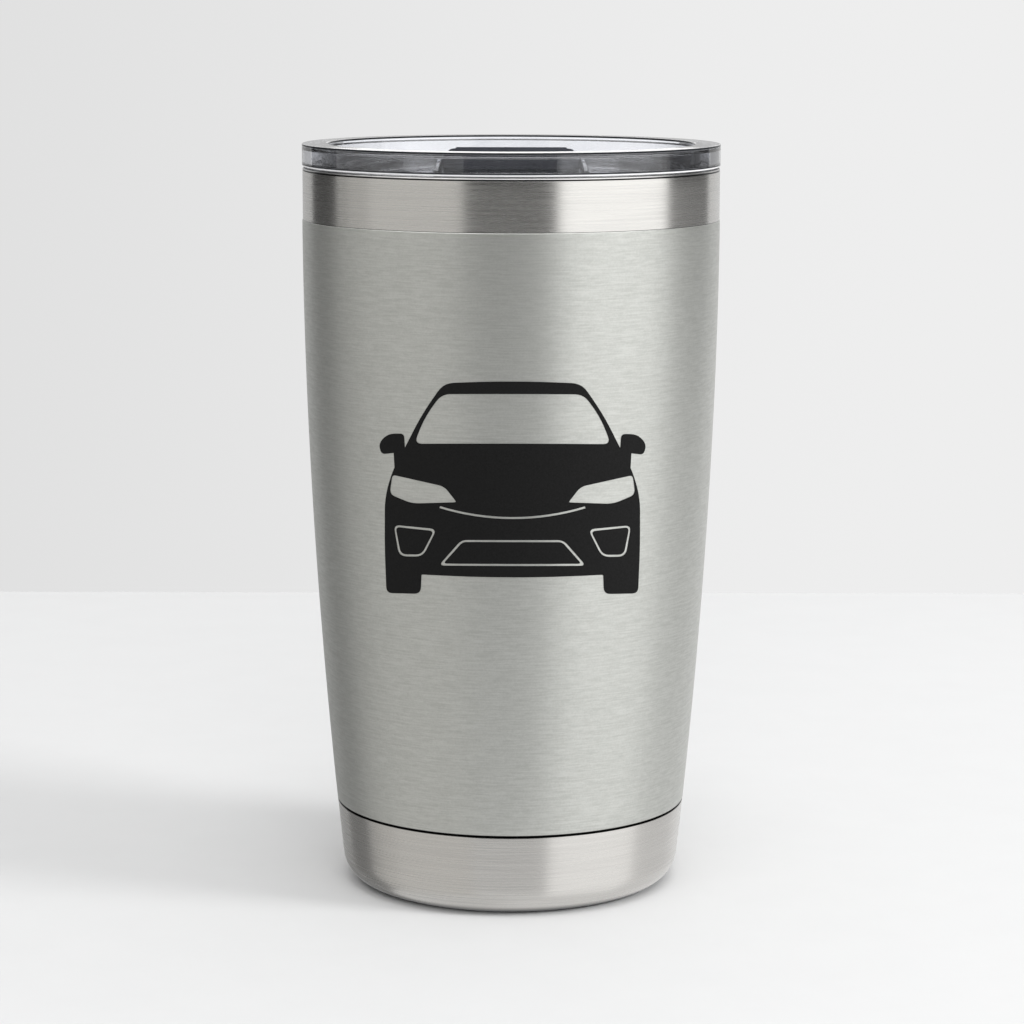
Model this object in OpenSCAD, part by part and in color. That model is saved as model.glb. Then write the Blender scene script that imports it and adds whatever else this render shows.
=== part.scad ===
// Insulated steel tumbler with a clear push-in lid and a magnetic slider.
// Origin: middle of the foot, on the table. +Z is up, the printed graphic faces -Y.

/* [Steel body] */
// Radius of the body at its mouth
mouth_r = 44.5; // [44:0.1:45.5]
// Radius that the side curve would reach at table height
foot_r = 35.95; // [34:0.05:38]
// Height above which the side is straight
straight_z = 145; // [142:1:146]
// How late the side curve tapers in: 1 is a plain cone
taper_power = 1.86; // [1.2:0.02:2.4]
// Height of the steel lip
lip_z = 155.05; // [154.8:0.05:155.2]
// Thickness of the steel sheet
sheet_t = 0.5; // [0.4:0.05:0.7]
// Thickness of the insulated wall, both sheets and the vacuum
wall_t = 3.4; // [3:0.1:3.6]

/* [Coating and graphic] */
// Height where the coating ends and the bare top band starts
band_z = 144.03; // [138:0.01:148]
// Thickness of the coating
coat_t = 0.1; // [0.05:0.01:0.2]
// Thickness of the printed graphic
decal_t = 0.06; // [0.04:0.01:0.15]
// Height of the middle of the graphic
decal_z = 92.1; // [80:0.1:100]
// How far the graphic sits right of the middle, seen from the front
decal_x = 0.4; // [-2:0.1:2]
// Downward view angle at which the graphic reads level
decal_tilt = 8.6; // [0:0.1:12]

/* [Base cup] */
// Height of the base cup's rim, just under the seam
cup_z = 17.72; // [14:0.01:22]
// Height of the open seam between the cup and the coating
seam_gap = 0.34; // [0.2:0.01:0.6]
// Radius of the rounded bottom corner
corner_r = 6.4; // [4:0.1:6.5]
// Height of the shallow hollow under the cup
hollow_z = 1.5; // [1:0.1:2.5]

/* [Lid] */
// Height of the crown of the lid's rim
lid_z = 160; // [159:0.1:161]
// How much lower the rim's outer edge is than its crown
crown_h = 0.1; // [0:0.05:0.6]
// Outer radius of the lid's rim
lid_r = 44.54; // [44:0.01:45.5]
// Inner radius of the lid's rim at the top
recess_r = 39.1; // [38.5:0.1:39.5]
// Height of the top of the lid's floor
floor_z = 152.2; // [152:0.1:153]
// Thickness of the lid's floor
floor_t = 2; // [1.6:0.1:2.4]
// Height of the bottom of the lid's plug
plug_z = 146; // [145:0.1:147]
// Outer radius of the lid's plug
plug_r = 40.4; // [40.2:0.05:40.6]
// Radius that the gasket's fins reach
fin_r = 40.95; // [40.8:0.05:41]
// Thickness of the rim's outer wall
rim_t = 2.1; // [1.6:0.1:2.4]
// Thickness of the rim's top
rim_top_t = 0.8; // [0.8:0.1:2.2]
// Radius of the ends of the drinking hole
drink_r = 4.2; // [3.5:0.1:4.4]
// Distance from the middle of the lid to the drinking hole
drink_y = 28.8; // [28:0.1:29]
// Radius of the air hole
vent_r = 1.2; // [0.8:0.1:2]

/* [Slider] */
// Half of the slider's width
slider_half_w = 14.8; // [12.5:0.1:15]
// Width of the bevel along the slider's upper sides
slider_bevel = 1.4; // [0.5:0.1:2]
// Radius of the slider's outer end, about the middle of the lid
slider_end_r = 36.3; // [36:0.1:36.4]
// Distance from the middle of the lid to the slider's inner end
slider_y = 2.5; // [1:0.1:4]
// Height of the top of the thumb ridges
ridge_z = 158.3; // [157.5:0.1:158.5]
// How far the slider travels
travel = 14; // [13:0.5:15]

/* [Hidden] */
$fn = 96;

// Offsets from the side curve, measured outwards
coat_out = 0.04;                     // outside of the coating
steel_out = coat_out - coat_t;       // outside of the outer shell
shell_in = steel_out - sheet_t;      // inside of the outer shell
cup_in = -sheet_t;                   // inside of the base cup
glue_t = 0.15;                       // thickness of the adhesive
neck_out = cup_in - glue_t;          // outside of the shell's lower neck
neck_in = neck_out - sheet_t;        // inside of the shell's lower neck
liner_in = -wall_t;                  // inside of the liner
liner_out = liner_in + sheet_t;      // outside of the liner
foil_t = 0.05;                       // thickness of the copper foil

// Heights
coat_z = cup_z + seam_gap;           // bottom edge of the coating
shell_z = lip_z - 0.55;              // top of the outer shell, under the turned lip
groove_w = 0.18;                     // depth of the groove between the shell and the lip
lip_bend = 0.32;                     // radius of the lip's outer edge
neck_z = 5.2;                        // lower end of the shell's neck
disc_z = 6.5;                        // underside of the shell's welded bottom
liner_z = 11;                        // underside of the liner's bottom
liner_weld_z = 18;                   // weld between the liner and its bottom
station = 6;                         // height of one step of the side curve
side_lean = 6;                       // lean of the side near the foot, in degrees
foot_w = 2.2;                        // width of the flat ring that stands on the table

// Lid magnets sit under the slider's magnet at both ends of its travel
magnet_y = 12;
lid_magnet_r = 4;
slider_magnet_r = 5;
skirt_in_r = plug_r - 1.8;
groove_r = plug_r - 0.9;             // bottom of the gasket's groove
groove_z = 147.9;
groove_h = 3;
flange_z = lip_z + 0.2;              // underside of the lid's rim
channel_r = lid_r - rim_t;           // outside of the hollow under the rim
channel_z = lid_z - rim_top_t;       // top of the hollow under the rim
drink_half_w = 5.8;                  // from the hole's middle to the centre of each end

// Slider heights
slider_z = floor_z + 0.15;
plate_z = slider_z + 0.1;
plate_t = 1.2;
plate_inset = 1.2;

// Side curve of the body, and the same curve taken in straight steps
function curve_r(z) = z >= straight_z ? mouth_r
  : mouth_r - (mouth_r - foot_r) * pow(1 - z / straight_z, taper_power);
function side_r(z) = let (a = floor(z / station) * station, t = (z - a) / station)
  curve_r(a) * (1 - t) + curve_r(a + station) * t;

// Points up the side from z0 to z1, at an offset from the side curve
function side(z0, z1, off) = concat(
  [[side_r(z0) + off, z0]],
  [for (k = [floor(z0 / station) + 1 : ceil(z1 / station) - 1]) [side_r(k * station) + off, k * station]],
  [[side_r(z1) + off, z1]]
);
function reversed(pts) = [for (i = [len(pts) - 1 : -1 : 0]) pts[i]];
function arc(c, r, a0, a1, n = 8) =
  [for (i = [0 : n]) let (a = a0 + (a1 - a0) * i / n) c + r * [cos(a), sin(a)]];

// Outlines are lists of [x, y, radius]; corner k is rounded by a smooth curve of n steps
function corner(pts, k, n = 5) = let (
    count = len(pts), p = [pts[k][0], pts[k][1]], r = pts[k][2],
    before = pts[(k + count - 1) % count], after = pts[(k + 1) % count],
    in_dir = [before[0], before[1]] - p, out_dir = [after[0], after[1]] - p,
    from = p + r * in_dir / norm(in_dir), to = p + r * out_dir / norm(out_dir)
  ) r == 0 ? [p]
  : [for (i = [0 : n]) let (t = i / n) (1 - t) * (1 - t) * from + 2 * t * (1 - t) * p + t * t * to];
function rounded(pts) = [for (k = [0 : len(pts) - 1]) each corner(pts, k)];
function mirrored(pts) = [for (p = reversed(pts)) [-p[0], each [for (i = [1 : len(p) - 1]) p[i]]]];
// Whole outline from its right half, whose first and last points lie on the middle line
function whole(half) = concat(half, [for (p = mirrored(half)) if (p[0] != 0) p]);

// A revolved sheet between two offsets of the side curve
module side_sheet(z0, z1, off_in, off_out) {
  rotate_extrude() polygon(concat(side(z0, z1, off_out), reversed(side(z0, z1, off_in))));
}

// ---- Steel body ----

// Outer wall: bare band on top, coated side, and a neck that the base cup goes over
module outer_shell() {
  color("silver") rotate_extrude() polygon(concat(
    side(neck_z, cup_z, neck_out),
    side(coat_z, shell_z - groove_w, steel_out),
    [[mouth_r + steel_out - groove_w, shell_z]],
    reversed(side(coat_z + sheet_t, shell_z, shell_in)),
    reversed(side(neck_z, cup_z + sheet_t, neck_in))
  ));
}

// Stamped bottom that closes the vacuum, with a dimple and a pump-out hole
module shell_bottom() {
  dimple_r = 7;
  dimple_z = disc_z + 1.4;
  hole_r = 0.8;
  rim_r = side_r(neck_z) + neck_in;
  color("gainsboro") rotate_extrude() polygon(concat(
    [[hole_r, dimple_z], [dimple_r - 1, dimple_z], [dimple_r, disc_z], [rim_r - sheet_t - 1, disc_z]],
    [[rim_r - sheet_t, disc_z - 1], [rim_r - sheet_t, neck_z]],
    side(neck_z, disc_z - 0.7, neck_in),
    [[rim_r - 1.2, disc_z + sheet_t], [dimple_r + 0.3, disc_z + sheet_t]],
    [[dimple_r - 0.7, dimple_z + sheet_t], [hole_r, dimple_z + sheet_t]]
  ));
}

// Inner wall, flared out at the top and turned over the shell as the drinking lip
module inner_liner() {
  in_r = mouth_r + liner_in;
  out_r = mouth_r + liner_out;
  lip_out = mouth_r + steel_out;
  shell_in_r = mouth_r + shell_in;
  color("lightgray") rotate_extrude() polygon(concat(
    side(liner_weld_z, lip_z - 3.5, liner_out),
    [[out_r + 0.3, lip_z - 2.4], [shell_in_r, lip_z - 1.1], [shell_in_r, shell_z]],
    [[lip_out - groove_w, shell_z], [lip_out, shell_z + groove_w]],
    arc([lip_out - lip_bend, lip_z - lip_bend], lip_bend, 0, 90, 4),
    arc([in_r + 0.9, lip_z - 0.9], 0.9, 90, 180, 5),
    reversed(side(liner_weld_z, lip_z - 3.5, liner_in))
  ));
}

// Dished bottom of the drinking space, welded to the liner
module liner_bottom() {
  bend_r = 6;
  bend_out = side_r(liner_z + bend_r) + liner_out - bend_r;
  c = [bend_out, liner_z + bend_r];
  color("lightgray") rotate_extrude() polygon(concat(
    [[0, liner_z]], arc(c, bend_r, 270, 360),
    [[side_r(liner_weld_z) + liner_out, liner_weld_z], [side_r(liner_weld_z) + liner_in, liner_weld_z]],
    arc(c, bend_r - sheet_t, 360, 270), [[0, liner_z + sheet_t]]
  ));
}

// Brushed cup over the shell's neck, with the foot ring that the tumbler stands on
module base_cup() {
  tangent_z = corner_r * (1 - sin(side_lean));
  c = [side_r(tangent_z) - corner_r * cos(side_lean), corner_r];
  foot_in = c[0] - foot_w;
  rise_r = foot_in - 1.6;
  color("silver") rotate_extrude() polygon(concat(
    [[0, hollow_z], [rise_r, hollow_z], [foot_in, 0]],
    arc(c, corner_r, 270, 360 - side_lean),
    side(corner_r, cup_z, 0),
    reversed(side(corner_r, cup_z, cup_in)),
    arc(c, corner_r - sheet_t, 360 - side_lean, 270),
    [[foot_in + 0.2, sheet_t], [rise_r + 0.2, hollow_z + sheet_t], [0, hollow_z + sheet_t]]
  ));
}

// Band of adhesive that holds the base cup on the neck
module base_adhesive() {
  color("dimgray") side_sheet(8, 15, neck_out, cup_in);
}

// Satin coating on the side, between the seam and the bare band
module body_coating() {
  color("darkgray") side_sheet(coat_z, band_z, steel_out, coat_out);
}

// ---- Printed graphic: a plain car seen from the front ----

line_w = 0.42;                       // width of the thin lines left open in the print
bar_half_angle = 16.8;               // half of the grille line's arc, in degrees
bar_r = 51.6;

car_shape = whole([
  [0, 21.9, 11], [14, 21.4, 2], [18.6, 15, 4], [21.9, 8.6, 2.5], [24.5, 4, 2], [26.3, -1.5, 3],
  [26.4, -12, 3], [26.1, -21.6, 1.3], [18.9, -21.6, 1.3], [18.7, -17.6, 0.3], [0, -18.3, 14]
]);
windscreen = [
  [-14.4, 19.2, 1.8], [14.4, 19.2, 1.8], [17.9, 14.6, 3], [20.1, 9.2, 1.7], [-20.1, 9.2, 1.7], [-17.9, 14.6, 3]
];
mirror_pod = [[22, 7.6, 0.7], [22.2, 11.3, 0.9], [25.7, 11.3, 1.5], [27.6, 9.2, 1.2], [26.9, 7.1, 0.8]];
mirror_arm = [[21.2, 7.4, 0], [24.4, 7.9, 0], [24.2, 4, 0], [22.4, 4.6, 0]];
headlamp = [[11.4, -2.7, 0.5], [13.9, 0.5, 1.2], [24.7, 2.9, 0.8], [25.3, -1.1, 1.2], [20.6, -3, 1.5]];

// Outlines that are printed as thin open lines, taken in by d
function fog_lamp(d) = [
  [15.5 + 1.4 * d, -8.2 - d, 1.4 - d], [24.5 - d, -7.4 - d, 1.4 - d],
  [23.4 - d, -13.9 + d, 1.6 - d], [18.4 + 0.6 * d, -13.9 + d, 1.6 - d]
];
function intake(d) = [
  [-10.4 + 0.5 * d, -10.4 - d, 1.2 - d], [10.4 - 0.5 * d, -10.4 - d, 1.2 - d],
  [15.1 - 2.2 * d, -15.7 + d, 1.2 - d], [-15.1 + 2.2 * d, -15.7 + d, 1.2 - d]
];

module open_line(outer, inner) {
  difference() {
    polygon(rounded(outer));
    polygon(rounded(inner));
  }
}

module grille_line() {
  c = [0, bar_r - 6.1];
  polygon(concat(
    arc(c, bar_r, 270 - bar_half_angle, 270 + bar_half_angle, 16),
    arc(c, bar_r - line_w, 270 + bar_half_angle, 270 - bar_half_angle, 16)
  ));
}

module car_print() {
  difference() {
    union() {
      polygon(rounded(car_shape));
      for (pts = [mirror_pod, mirrored(mirror_pod), mirror_arm, mirrored(mirror_arm)]) polygon(rounded(pts));
    }
    polygon(rounded(windscreen));
    polygon(rounded(headlamp));
    polygon(rounded(mirrored(headlamp)));
    open_line(fog_lamp(0), fog_lamp(line_w));
    open_line(mirrored(fog_lamp(0)), mirrored(fog_lamp(line_w)));
    open_line(intake(0), intake(line_w));
    grille_line();
  }
}

// The print's outline is projected onto the side along the downward view angle
module car_decal() {
  half_h = 26;
  start_z = decal_z - side_r(decal_z) * tan(decal_tilt);
  color("black") intersection() {
    side_sheet(decal_z - half_h, decal_z + half_h, coat_out, coat_out + decal_t);
    translate([decal_x, 0, start_z]) rotate([90 - decal_tilt, 0, 0]) linear_extrude(1.2 * mouth_r) car_print();
  }
}

// ---- Inside the vacuum ----

module copper_foil() {
  color("peru") side_sheet(22, 146, liner_out, liner_out + foil_t);
}

getter_x = 18;
getter_r = 4.5;
clip_t = 0.3;

module getter_pellet() {
  color("slategray") translate([getter_x, 0, disc_z + sheet_t + clip_t]) cylinder(r = getter_r, h = 1.6);
}

// Pressed cup with two welding tabs, which holds the getter pellet
module getter_clip() {
  z0 = disc_z + sheet_t;
  tab_l = 9;
  color("lightsteelblue") difference() {
    union() {
      translate([getter_x, 0, z0]) cylinder(r = getter_r + clip_t, h = 2.2);
      translate([getter_x - 1.5, -tab_l, z0]) cube([3, 2 * tab_l, clip_t]);
    }
    translate([getter_x, 0, z0 + clip_t]) cylinder(r = getter_r, h = 3);
  }
}

// Bead of sealing glass in the pump-out dimple
module vacuum_seal() {
  bead_r = 3.4;
  top = disc_z + 1.4;
  color("darkslategray") rotate_extrude() polygon([
    [0, top - 1], [bead_r - 1, top - 0.8], [bead_r, top], [0.8, top], [0.8, top + sheet_t], [0, top + sheet_t]
  ]);
}

// ---- Lid ----

module drink_hole(r) {
  translate([-drink_half_w, drink_y - r]) square([2 * drink_half_w, 2 * r]);
  for (x = [-drink_half_w, drink_half_w]) translate([x, drink_y]) circle(r);
}

// Clear lid: rim, sunken floor and plug in one moulding
module lid_body() {
  wall_low_r = recess_r - 0.8;
  bend_r = 1.7;
  boss_r = lid_magnet_r + 1.4;
  boss_z = 147.4;
  rail_h = 1.6;
  rail_w = 1.2;
  rail_x = slider_half_w + 0.25;
  rail_end = slider_y - travel - 0.5;
  color("lightslategray", 0.6) difference() {
    union() {
      rotate_extrude() polygon(concat(
        [[0, floor_z - floor_t], [skirt_in_r - 0.8, floor_z - floor_t], [skirt_in_r, floor_z - floor_t - 0.8]],
        [[skirt_in_r, plug_z + 0.3], [skirt_in_r + 0.3, plug_z], [plug_r - 0.3, plug_z], [plug_r, plug_z + 0.3]],
        [[plug_r, groove_z], [groove_r, groove_z], [groove_r, groove_z + groove_h], [plug_r, groove_z + groove_h]],
        [[plug_r, channel_z - 0.4], [plug_r + 0.4, channel_z], [channel_r - 0.4, channel_z]],
        [[channel_r, channel_z - 0.4], [channel_r, flange_z + 0.1], [channel_r + 0.1, flange_z]],
        arc([lid_r - 0.45, flange_z + 0.45], 0.45, 270, 360, 4),
        arc([lid_r - 0.2, lid_z - crown_h - 0.2], 0.2, 0, 90, 3),
        arc([recess_r + 0.4, lid_z - 0.4], 0.4, 90, 180, 4),
        arc([wall_low_r - bend_r, floor_z + bend_r], bend_r, 360, 270, 6),
        [[0, floor_z]]
      ));
      for (y = [magnet_y, magnet_y - travel])
        translate([0, y, boss_z]) cylinder(r = boss_r, h = floor_z - boss_z - 1);
      for (x = [-rail_x - rail_w, rail_x])
        translate([x, rail_end - rail_w, floor_z - 0.5]) cube([rail_w, 32.2 - rail_end + rail_w, rail_h + 0.5]);
      translate([-rail_x, rail_end - rail_w, floor_z - 0.5]) cube([2 * rail_x, rail_w, 1.5]);
    }
    translate([0, 0, floor_z - floor_t - 1]) linear_extrude(floor_t + 2) drink_hole(drink_r);
    translate([0, -24, floor_z - floor_t - 1]) cylinder(r = vent_r, h = floor_t + 2);
    for (y = [magnet_y, magnet_y - travel])
      translate([0, y, boss_z - 1]) cylinder(r = lid_magnet_r, h = floor_z - boss_z + 0.2);
  }
}

// Silicone ring with two fins that grip the mouth
module lid_gasket() {
  body_r = plug_r + 0.05;
  top = groove_z + groove_h;
  color("whitesmoke") rotate_extrude() polygon([
    [groove_r, groove_z], [body_r - 0.1, groove_z], [fin_r, groove_z + 0.65], [fin_r, groove_z + 0.85],
    [body_r, groove_z + 1.35], [body_r, groove_z + 1.65], [fin_r, top - 0.85], [fin_r, top - 0.65],
    [body_r - 0.1, top], [groove_r, top]
  ]);
}

module lid_magnets() {
  color("dimgray") for (y = [magnet_y, magnet_y - travel])
    translate([0, y, floor_z - 3.3]) cylinder(r = lid_magnet_r, h = 2.5);
}

module magnet_caps() {
  color("lightslategray") for (y = [magnet_y, magnet_y - travel])
    translate([0, y, 147.4]) cylinder(r = lid_magnet_r, h = floor_z - 3.3 - 147.4);
}

// ---- Slider ----

// Outline of the slider seen from above, taken in by an inset
module slider_plan(inset) {
  w = slider_half_w - inset;
  y0 = slider_y + inset;
  r = 4 - inset;
  intersection() {
    circle(slider_end_r - inset);
    union() {
      translate([-w, y0 + r]) square([2 * w, 40]);
      translate([-w + r, y0]) square([2 * (w - r), 40]);
      for (x = [-w + r, w - r]) translate([x, y0 + r]) circle(r);
    }
  }
}

// Block with the slider's side outline, lowered and shortened by an inset
module slider_side(inset) {
  top = ridge_z - 0.4 - inset;
  translate([-20, 0, 0]) rotate([90, 0, 90]) linear_extrude(40) polygon([
    [0, slider_z - 1], [40, slider_z - 1], [40, top - 2.7], [34, top - 2.5], [28, top - 1.8], [22, top], [0, top]
  ]);
}

// Block with the slider's end outline, bevelled along its upper sides
module slider_front() {
  w = slider_half_w + 0.01;
  top = ridge_z - 0.4;
  translate([0, 40, 0]) rotate([90, 0, 0]) linear_extrude(40) polygon([
    [-w, slider_z - 1], [w, slider_z - 1], [w, top - slider_bevel], [w - slider_bevel, top],
    [slider_bevel - w, top], [-w, top - slider_bevel]
  ]);
}

module slider_body() {
  ceiling_t = 1.4;
  ridges = 5;
  pitch = 3.2;
  color("slategray") difference() {
    union() {
      intersection() {
        translate([0, 0, slider_z]) linear_extrude(8) slider_plan(0);
        slider_side(0);
        slider_front();
      }
      for (i = [0 : ridges - 1])
        translate([-slider_half_w + 2.6, slider_y + 3.2 + i * pitch, ridge_z - 0.8])
          cube([2 * slider_half_w - 5.2, 1.3, 0.8]);
    }
    translate([0, 0, slider_z - 1]) linear_extrude(plate_z - slider_z + plate_t + 1) slider_plan(plate_inset);
    difference() {
      intersection() {
        translate([0, 0, slider_z]) linear_extrude(8) slider_plan(plate_inset + 1.4);
        slider_side(ceiling_t);
      }
      translate([0, magnet_y, slider_z]) cylinder(r = slider_magnet_r + 1.2, h = 8);
    }
    translate([0, magnet_y, slider_z]) cylinder(r = slider_magnet_r, h = plate_z - slider_z + plate_t + 2);
  }
}

module slider_plate() {
  color("gray") translate([0, 0, plate_z]) difference() {
    linear_extrude(plate_t) slider_plan(plate_inset);
    translate([0, 0, -1]) linear_extrude(1.6) drink_hole(drink_r + 1);
  }
}

module slider_magnet() {
  color("dimgray") translate([0, magnet_y, plate_z + plate_t]) cylinder(r = slider_magnet_r, h = 2);
}

// Silicone pad that covers the drinking hole
module slider_seal() {
  color("whitesmoke") translate([0, 0, floor_z + 0.05])
    linear_extrude(plate_z + 0.6 - floor_z - 0.05) drink_hole(drink_r + 1);
}

outer_shell();
shell_bottom();
inner_liner();
liner_bottom();
base_cup();
base_adhesive();
body_coating();
car_decal();
copper_foil();
getter_pellet();
getter_clip();
vacuum_seal();
lid_body();
lid_gasket();
lid_magnets();
magnet_caps();
slider_body();
slider_plate();
slider_magnet();
slider_seal();
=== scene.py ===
"""Looks of an insulated steel tumbler with a clear push-in lid and a magnetic slider.
Lengths in the piece code are in millimetres and are scaled by MM when a mesh is made."""
import math

import bmesh
import bpy
from mathutils import Matrix, Vector


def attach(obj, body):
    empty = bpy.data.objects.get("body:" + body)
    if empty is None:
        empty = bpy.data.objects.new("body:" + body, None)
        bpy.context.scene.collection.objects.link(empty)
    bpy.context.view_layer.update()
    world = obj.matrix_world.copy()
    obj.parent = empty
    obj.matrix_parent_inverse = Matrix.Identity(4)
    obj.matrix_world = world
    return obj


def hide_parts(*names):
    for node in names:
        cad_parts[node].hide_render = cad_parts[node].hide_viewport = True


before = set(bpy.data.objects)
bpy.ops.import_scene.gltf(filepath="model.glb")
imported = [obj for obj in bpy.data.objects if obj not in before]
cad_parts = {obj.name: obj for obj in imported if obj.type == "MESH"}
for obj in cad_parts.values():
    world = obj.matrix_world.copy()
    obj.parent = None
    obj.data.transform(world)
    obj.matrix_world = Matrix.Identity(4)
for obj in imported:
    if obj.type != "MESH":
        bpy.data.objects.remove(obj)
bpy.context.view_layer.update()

MM = 0.001
STEPS = 288  # steps round a full turn
SHARP = 38  # degrees between faces above which an edge is shaded sharp

# Sizes of the CAD part; the lid's rim differs by about 0.1 to follow the photo
# Side curve of the body
MOUTH_R, FOOT_R, STRAIGHT_Z, TAPER = 44.5, 35.95, 145.0, 1.86
# Tops of the lip, the coating, the base cup and the outer wall, and the foot of the coating
LIP_Z, BAND_Z, CUP_Z, SHELL_Z, COAT_Z = 155.05, 144.03, 17.72, 154.55, 18.06
# Offsets of the walls from the side curve, the neck's low end and the weld of the liner's floor
COAT_OUT, STEEL_OUT, SHELL_IN = 0.04, -0.06, -0.56
CUP_IN, NECK_OUT, NECK_IN, NECK_Z = -0.5, -0.65, -1.15, 5.2
LINER_OUT, LINER_IN, SHEET, WELD_Z = -2.9, -3.4, 0.5, 18
DECAL_T = 0.06
# Lid: rim, floor, plug with its gasket, and the hollow under the rim
LID_Z, LID_R, RECESS_R, FLOOR_Z, FLOOR_T = 160.12, 44.54, 39.1, 152.2, 2.0
PLUG_Z, PLUG_R, GROOVE_Z, GROOVE_H, FIN_R = 146.0, 40.4, 147.9, 3.0, 40.95
FLANGE_Z, CHANNEL_R, CHANNEL_Z, CROWN_H = 155.25, 42.44, 159.2, 0.05
# Holes for drinking and for air, and the magnets
DRINK_R, DRINK_Y, DRINK_W = 4.2, 28.8, 5.8
VENT_Y, VENT_R = -24, 1.2
MAGNET_Y, TRAVEL, BOSS_Z, CAP_Z = 12.0, 14.0, 147.4, 148.9
LID_MAGNET_R, SLIDER_MAGNET_R, PLAY = 4.0, 5.0, 0.02
# Slider, with the plate and the seal under it
SLIDER_W, SLIDER_END, SLIDER_Y, SLIDER_Z, SLIDER_CORNER = 14.8, 36.3, 2.5, 152.35, 4.0
SLIDER_BEVEL, SLIDER_WALL, RIDGE_Z = 1.4, 2.6, 158.3
PLATE_Z, PLATE_T, PLATE_INSET = 152.45, 1.2, 1.2
SEAL_R, SEAL_Z = DRINK_R + 1, PLATE_Z + 0.6


def curve_r(z):
    """Radius of the body's side curve at a height."""
    if z >= STRAIGHT_Z:
        return MOUTH_R
    return MOUTH_R - (MOUTH_R - FOOT_R) * (1 - z / STRAIGHT_Z) ** TAPER


def side(z0, z1, off, step=3.0):
    """Points up the side curve from z0 to z1, at an offset."""
    n = max(1, math.ceil(abs(z1 - z0) / step))
    return [(curve_r(z) + off, z) for z in (z0 + (z1 - z0) * i / n for i in range(n + 1))]


# ---- Outlines ----


def filleted(corners, n=5, hold=0.1):
    """Closed outline from (x, y) or (x, y, radius) corners; points beside each arc hold the shading flat."""
    pts = []
    for k, corner in enumerate(corners):
        p = Vector(corner[:2])
        radius = corner[2] if len(corner) > 2 else 0
        if not radius:
            pts.append(tuple(p))
            continue
        a = Vector(corners[k - 1][:2]) - p
        b = Vector(corners[(k + 1) % len(corners)][:2]) - p
        room = min(a.length, b.length)
        a.normalize()
        b.normalize()
        half = a.angle(b) / 2
        reach = radius / math.tan(half)
        centre = p + (a + b).normalized() * (radius / math.sin(half))
        start, end = p + a * reach - centre, p + b * reach - centre
        turn = start.angle_signed(end)
        if room > reach + 3 * hold:
            pts.append(tuple(p + a * (reach + hold)))
        for i in range(n + 1):
            t = -turn * i / n
            pts.append((centre.x + start.x * math.cos(t) - start.y * math.sin(t),
                        centre.y + start.x * math.sin(t) + start.y * math.cos(t)))
        if room > reach + 3 * hold:
            pts.append(tuple(p + b * (reach + hold)))
    return pts


# ---- Meshes ----


def finish_mesh(bm, name, sharp=SHARP):
    """Object from a bmesh, smooth but for edges sharper than an angle in degrees."""
    bmesh.ops.remove_doubles(bm, verts=bm.verts, dist=1e-7)
    bmesh.ops.recalc_face_normals(bm, faces=bm.faces)
    mesh = bpy.data.meshes.new(name)
    bm.to_mesh(mesh)
    bm.free()
    mesh.shade_smooth()
    mesh.set_sharp_from_angle(angle=math.radians(sharp))
    obj = bpy.data.objects.new(name, mesh)
    bpy.context.scene.collection.objects.link(obj)
    return obj


def lathe(name, outline, centre=(0, 0), steps=STEPS, sharp=SHARP):
    """A closed outline of (radius, height) turned round a vertical axis."""
    bm = bmesh.new()
    rings = []
    turns = [(math.cos(2 * math.pi * k / steps), math.sin(2 * math.pi * k / steps)) for k in range(steps)]
    for r, z in outline:
        if r < 1e-6:
            rings.append([bm.verts.new((centre[0] * MM, centre[1] * MM, z * MM))])
        else:
            rings.append([bm.verts.new(((centre[0] + r * c) * MM, (centre[1] + r * s) * MM, z * MM))
                          for c, s in turns])
    uv = bm.loops.layers.uv.new("UVMap")
    length = 0
    for i, low in enumerate(rings):
        high = rings[(i + 1) % len(rings)]
        gap = math.dist(outline[i], outline[(i + 1) % len(rings)])
        if len(low) == 1 and len(high) == 1:
            continue
        for k in range(steps):
            m = (k + 1) % steps
            if len(low) == 1:
                corners = [(low[0], k + 0.5, 0), (high[m], k + 1, gap), (high[k], k, gap)]
            elif len(high) == 1:
                corners = [(low[k], k, 0), (low[m], k + 1, 0), (high[0], k + 0.5, gap)]
            else:
                corners = [(low[k], k, 0), (low[m], k + 1, 0), (high[m], k + 1, gap), (high[k], k, gap)]
            face = bm.faces.new([v for v, _, _ in corners])
            for loop, (_, turn, along) in zip(face.loops, corners):
                loop[uv].uv = (turn / steps, (length + along) / 100)
        length += gap
    return finish_mesh(bm, name, sharp)


def prism(name, plan, z0, z1, round_low=0.0, round_high=0.0):
    """A closed plan of (x, y) raised from z0 to z1, with its low and high edges rounded."""
    bm = bmesh.new()
    low = [bm.verts.new((x * MM, y * MM, z0 * MM)) for x, y in plan]
    high = [bm.verts.new((x * MM, y * MM, z1 * MM)) for x, y in plan]
    bottom, top = bm.faces.new(low[::-1]), bm.faces.new(high)
    for k in range(len(plan)):
        m = (k + 1) % len(plan)
        bm.faces.new((low[k], low[m], high[m], high[k]))
    for face, radius in ((bottom, round_low), (top, round_high)):
        if radius:
            bmesh.ops.bevel(bm, geom=list(face.edges), offset=radius * MM, segments=3, profile=0.5,
                            affect="EDGES", clamp_overlap=True)
    return finish_mesh(bm, name)


def arc_points(cx, cy, r, a0, a1, n):
    """Points round (cx, cy) from a0 to a1 degrees, in n steps."""
    return [(cx + r * math.cos(math.radians(a0 + (a1 - a0) * i / n)),
             cy + r * math.sin(math.radians(a0 + (a1 - a0) * i / n))) for i in range(n + 1)]


def circle(y, r, n=96):
    """Plan of n points round (0, y)."""
    return arc_points(0, y, r, 0, 360 * (n - 1) / n, n - 1)


def box_plan(x0, y0, x1, y1):
    return [(x0, y0), (x1, y0), (x1, y1), (x0, y1)]


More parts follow.
